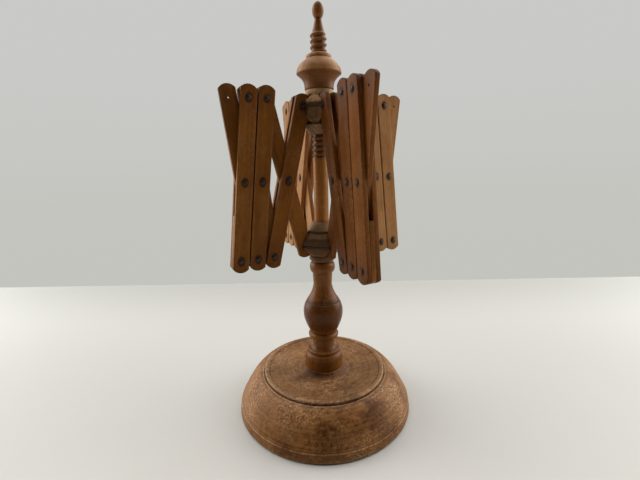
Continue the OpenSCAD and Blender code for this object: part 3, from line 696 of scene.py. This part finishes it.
# a rivet: its outline is carried round its own axis, with flats where the head was hammered
def rivetShell(at, size, outY, turn):
    a = np.linspace(0, np.pi / 2, rivetMesh["domePoints"])
    dome = np.stack([size["head"] * np.sin(a), outY + size["headH"] * np.cos(a) ** rivetMesh["domePower"]], 1)
    line = np.concatenate([dome, [[size["rivet"], outY], [size["rivet"], -outY]], (dome * [1, -1])[::-1]])
    b = np.linspace(0, 2 * np.pi, rivetMesh["sides"], endpoint=False)[None, :]
    lump = 1 + rivetMesh["lump3"] * np.cos(3 * b + turn) + rivetMesh["lump5"] * np.cos(5 * b - 2 * turn)
    head = line[:, :1] > size["rivet"] + rivetMesh["shaft"]
    r = line[:, :1] * np.where(head, lump * rivetMesh["fit"], 1.0)
    points = np.stack([r * np.cos(b), line[:, 1:] + 0 * b, at + r * np.sin(b)], -1)
    return points, gridFaces(len(line), rivetMesh["sides"])


# four arms of three crossings, each a middle slat, the pair either side of it and the pair's rivets
def makeArms(size):
    thick, inY = size["thick"], layout["pairIn"]
    outY = inY + thick
    loose, tight = size["rivet"] + size["run"], size["rivet"] + size["fixed"]
    for k in range(1, 5):
        for i in range(3):
            near, far = layout["near"][i], layout["far"][i]
            pin = size["wire"] if i == 0 else size["rivet"]
            play = size["slack"] if i == 1 else size["run"]
            midHoles = [(0, loose), (far, size["tipHole"] if i == 2 else loose), (-near, pin + play)]
            pairHoles = [(0, tight), (-far, tight), (near, size["wire"] + size["run"] if i == 0 else tight)]
            arm = "arm%d_" % k
            number = "_%d" % (i + 1)
            middle, pair = arm + "middle" + number, arm + "pair" + number
            addSlat(arm + "middle_slat_wood" + number, arm + "middle_slat" + number, middle, k, i, 1,
                    slatShell(far, near, -thick / 2, midHoles, size))
            addSlat(arm + "left_slat_wood" + number, arm + "left_slat" + number, pair, k, i, -1,
                    slatShell(near, far, inY, pairHoles, size))
            addSlat(arm + "right_slat_wood" + number, arm + "right_slat" + number, pair, k, i, -1,
                    slatShell(near, far, -outY, pairHoles, size))
            heads = [0, -far] + ([near] if i else [])
            turn = rivetMesh["turnArm"] * k + rivetMesh["turnCrossing"] * i
            shells = [rivetShell(at, size, outY, turn + n) for n, at in enumerate(heads)]
            count = shells[0][0][..., 0].size
            points = np.concatenate([p.reshape(-1, 3) for p, f in shells])
            faces = np.concatenate([f + n * count for n, (p, f) in enumerate(shells)])
            addPiece(arm + "rivets_iron" + number, toArm(points, k, i, -1), faces, finish["dark_iron"], pair,
                     arm + "rivets" + number)


makeArms(armSize)
print("arms made")

# hubs and spacers: the solids with their corners rounded, and on the hubs a second finish on the rounded
# corners
roundSize = {"hub": 0.5, "spacer": 0.4, "corner": 25, "level": 1, "segments": 2}


def roundedNode(node, body, width, looks):
    name = node + "_wood"
    bm = bmesh.new()
    bm.from_mesh(nodes[node].data)
    bmesh.ops.remove_doubles(bm, verts=bm.verts, dist=mergeGap)
    bmesh.ops.dissolve_limit(bm, angle_limit=math.radians(roundSize["level"]), verts=bm.verts, edges=bm.edges)
    mesh = bpy.data.meshes.new(name)
    bm.to_mesh(mesh)
    bm.free()
    mesh.shade_smooth()
    mesh.materials.clear()
    for look in looks:
        mesh.materials.append(look)
    piece = bpy.data.objects.new(name, mesh)
    bpy.context.scene.collection.objects.link(piece)
    bevel = piece.modifiers.new("corners", "BEVEL")
    bevel.width, bevel.segments, bevel.limit_method = width * mm, roundSize["segments"], "ANGLE"
    bevel.angle_limit = math.radians(roundSize["corner"])
    bevel.harden_normals = True
    bevel.material = len(looks) - 1
    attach(piece, body)
    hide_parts(node)


for name in ("lower_hub", "upper_hub"):
    roundedNode(name, name, roundSize["hub"], [finish["hub_wood"], finish["hub_edge"]])
for k in range(1, 5):
    roundedNode("arm%d_spacer" % k, "arm%d_pair_3" % k, roundSize["spacer"],
                [finish["spacer_wood"]])
print("hubs and spacers made")

# hub wires: a round section carried along a path that goes round the hub, with eased bends
wireSize = {"r": 0.9, "flatHalf": 17, "proud": 0.2, "bend": 1.1, "tail": 8.5, "tailShare": 0.9,
            "bendPoints": 7, "sides": 14}
steep = 0.9


def easeCorners(corners, radius, count):
    # each corner becomes a short curve between points one radius before and after it
    c = np.array(corners, float)
    before, after = np.roll(c, 1, 0), np.roll(c, -1, 0)

    def unit(v):
        return v / np.linalg.norm(v, axis=1, keepdims=True)

    a, b = c + unit(before - c) * radius, c + unit(after - c) * radius
    t = np.linspace(0, 1, count)[None, :, None]
    curve = (1 - t) ** 2 * a[:, None] + 2 * t * (1 - t) * c[:, None] + t ** 2 * b[:, None]
    return curve.reshape(-1, 3)


def tube(path, radius, sides, closed):
    # a circle square to the path at each of its points; open ends close on the path itself
    ahead = np.roll(path, -1, 0) - np.roll(path, 1, 0)
    if not closed:
        ahead[0], ahead[-1] = path[1] - path[0], path[-1] - path[-2]
    ahead /= np.linalg.norm(ahead, axis=1, keepdims=True)
    level = np.abs(ahead[:, 2:]) < steep
    guide = np.where(level, np.array([0, 0, 1.0]), np.array([1.0, 0.3, 0]))
    x = np.cross(guide, ahead)
    x /= np.linalg.norm(x, axis=1, keepdims=True)
    y = np.cross(ahead, x)
    a = np.linspace(0, 2 * np.pi, sides, endpoint=False)[None, :, None]
    points = path[:, None] + radius * (np.cos(a) * x[:, None] + np.sin(a) * y[:, None])
    if not closed:
        tips = np.repeat(path[[0, -1], None], sides, 1)
        points = np.concatenate([tips[:1], points, tips[1:]])
    return points, gridFaces(len(points), sides, closed)


def makeWires(size, arm):
    # the lower wire is an eight-sided loop; the upper one steps out round each arm and has a tail
    run = size["flatHalf"] + size["proud"] - size["r"]
    pivot = arm["pivotR"]
    highZ = 2 * layout["midZ"] - arm["lowZ"]
    bendY = run * math.sqrt(2) - pivot
    corner = np.array([[pivot, -bendY, 0], [pivot, bendY, 0]])
    loop = np.concatenate([corner @ turnZ(90 * k).T for k in range(4)]) + [0, 0, arm["lowZ"]]
    path = easeCorners(loop, size["bend"], size["bendPoints"])
    points, faces = tube(path, size["r"], size["sides"], True)
    addPiece("lower_wire_iron", points * mm, faces, finish["dark_iron"], "lower_hub", "lower_hub_wire")
    backY = layout["pairIn"] + arm["thick"] + arm["run"] + size["r"]
    runX = run * math.sqrt(2) - backY
    corner = np.array([[runX, -backY, 0], [pivot, -backY, 0], [pivot, backY, 0], [runX, backY, 0]])
    loop = np.concatenate([corner @ turnZ(90 * k).T for k in range(4)]) + [0, 0, highZ]
    path = easeCorners(loop, size["bend"], size["bendPoints"])
    points, faces = tube(path, size["r"], size["sides"], True)
    tailX = (pivot + runX) / 2
    tail = np.array([[tailX, backY, -size["tail"]], [tailX, backY, -size["tail"] / 2], [tailX, backY, 0]])
    tail = tail @ turnZ(180).T + [0, 0, highZ]
    tailPoints, tailFaces = tube(tail, size["r"] * size["tailShare"], size["sides"], False)
    allPoints = np.concatenate([points.reshape(-1, 3), tailPoints.reshape(-1, 3)])
    allFaces = np.concatenate([faces, tailFaces + points[..., 0].size])
    addPiece("upper_wire_iron", allPoints * mm, allFaces, finish["dark_iron"], "upper_hub", "upper_hub_wire")


makeWires(wireSize, armSize)
print("wires made")

# a white table that ends behind the swift, in front of a pale grey room; each fade runs between two depths,
# heights or directions
room = {"far": 0.384, "near": 1.5, "wide": 1.8, "table": (0.545, 0.538, 0.502),
        "tableFrontPaintedLight": (0.73, 0.695, 0.64), "tableBackPaintedShade": (0.455, 0.45, 0.42), "frontFade": (-0.32, 0.1),
        "backFade": (0.17, 0.384), "cloud": 3.0, "ragged": 0.03, "rough": 0.6, "specular": 0.2,
        "grain": 400.0, "grainBump": 0.05, "grainH": 0.0003,
        "wall": (0.585, 0.59, 0.57), "wallLow": (0.55, 0.552, 0.515), "wallFade": (-0.22, 0.25),
        "light": (1.0, 0.985, 0.96), "front": 0.05, "behind": 0.50, "sideFade": (-0.9, 0.7),
        "glossFront": 0.05}


def makeRoom(size):
    left, right, near, far = -size["wide"], size["wide"], -size["near"], size["far"]
    corners = np.array([[left, near, 0], [right, near, 0], [right, far, 0], [left, far, 0]])
    mesh = bpy.data.meshes.new("table_top")
    mesh.from_pydata((corners @ turnZ(shot["armTurn"]).T).tolist(), [], [(0, 1, 2, 3)])
    table = bpy.data.objects.new("table_top", mesh)
    bpy.context.scene.collection.objects.link(table)
    look = Look("tableWhite")
    where = look.node("ShaderNodeTexCoord", out=3)
    cloud = look.noise(where, size["cloud"], 3.0)
    back = tuple(turnZ(shot["armTurn"]) @ np.array([0, 1.0, 0]))
    depth = look.vector("DOT_PRODUCT", where, back) + size["ragged"] * (cloud - 0.5)
    # the table's colour is painted light at the front and a painted shadow towards the wall, where it meets
    # the room
    front, middle, behind = [look.tint(size[key]) for key in ("tableFrontPaintedLight", "table", "tableBackPaintedShade")]
    colour = look.blend(front, middle, depth.step(*size["frontFade"]))
    colour = look.blend(colour, behind, depth.step(*size["backFade"]))
    relief = look.bump(look.noise(where, size["grain"]), size["grainBump"], size["grainH"])
    table.data.materials.append(look.surface(colour, size["rough"], relief, specular=size["specular"]))
    # the wall is seen directly and in gloss; gloss and light from around are weaker on the camera's side
    world = bpy.data.worlds.new("room")
    bpy.context.scene.world = world
    world.use_nodes = True
    sky = Look("room", world.node_tree)
    toward = sky.node("ShaderNodeTexCoord", out=0)
    share = sky.vector("DOT_PRODUCT", toward, back).step(*size["sideFade"])
    high = sky.node("ShaderNodeSeparateXYZ", {}, {0: toward}, 2).step(*size["wallFade"])
    direct = sky.node("ShaderNodeLightPath", out="Is Camera Ray")
    gloss = sky.node("ShaderNodeLightPath", out="Is Glossy Ray")
    strength = size["front"] + (size["behind"] - size["front"]) * share
    around = sky.node("ShaderNodeBackground", {}, {"Color": sky.tint(size["light"]), "Strength": strength})
    wall = sky.blend(sky.tint(size["wallLow"]), sky.tint(size["wall"]), high)
    strength = (direct + size["glossFront"] + (1 - size["glossFront"]) * share).top()
    seen = sky.node("ShaderNodeBackground", {}, {"Color": wall, "Strength": strength})
    mix = sky.node("ShaderNodeMixShader", {}, {0: (direct + gloss).top(), 1: around, 2: seen})
    sky.node("ShaderNodeOutputWorld", {}, {"Surface": mix})


# soft boxes, placed as the camera sees them: x to the right, y away from the camera
lamps = {"overhead": {"at": (0.0, 0.38, 1.20), "size": (1.6, 1.2), "watts": 9.5},
         "leftWindow": {"at": (-1.10, 0.30, 0.60), "size": (1.0, 1.2), "watts": 12.5},
         "rightWindow": {"at": (1.10, 0.30, 0.65), "size": (1.0, 1.2), "watts": 12.5}}
lampAim = np.array([0, 0, 0.2])


def makeLamps(boxes, aim):
    for name, lamp in boxes.items():
        data = bpy.data.lights.new(name, "AREA")
        data.shape = "RECTANGLE"
        data.size, data.size_y = lamp["size"]
        data.energy = lamp["watts"]
        light = bpy.data.objects.new(name, data)
        bpy.context.scene.collection.objects.link(light)
        at = turnZ(shot["armTurn"]) @ np.array(lamp["at"])
        back = at - aim
        back /= np.linalg.norm(back)
        x = np.cross([0, 1, 0] if abs(back[2]) > steep else [0, 0, 1], back)
        x /= np.linalg.norm(x)
        m = np.eye(4)
        m[:3, :3] = np.stack([x, np.cross(back, x), back], 1)
        m[:3, 3] = at
        light.matrix_world = Matrix(m.tolist())
        light.visible_camera = False


makeRoom(room)
makeLamps(lamps, lampAim)
bpy.context.scene.view_settings.view_transform = "Standard"
print("room and lamps set")

bpy.context.view_layer.update()
